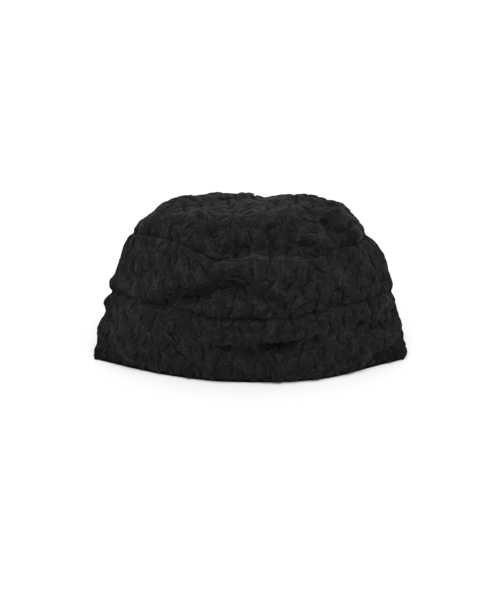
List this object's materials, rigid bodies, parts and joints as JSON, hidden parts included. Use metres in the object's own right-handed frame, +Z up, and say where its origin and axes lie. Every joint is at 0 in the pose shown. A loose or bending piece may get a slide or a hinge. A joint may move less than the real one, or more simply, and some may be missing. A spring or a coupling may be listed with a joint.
{
  "type": "lace beanie",
  "caption": "Soft brimless hat of raised black floral lace, sewn from a conical lower band, an upper band and a dented domed crown, standing open on its hem.",
  "frame": {"origin": "middle of the hem, on the surface that the hat stands on", "axes": "+Z up through the crown, -Y out of the front, +X along the flat-stored hat's width, from crease to crease"},
  "size_m": [0.253, 0.121, 0.1339],
  "materials": {
    "black_lace": "matte"
  },
  "bodies": {
    "root": {"lower_band": "black_lace", "upper_band": "black_lace", "crown_tip": "black_lace"}
  },
  "joints": []
}
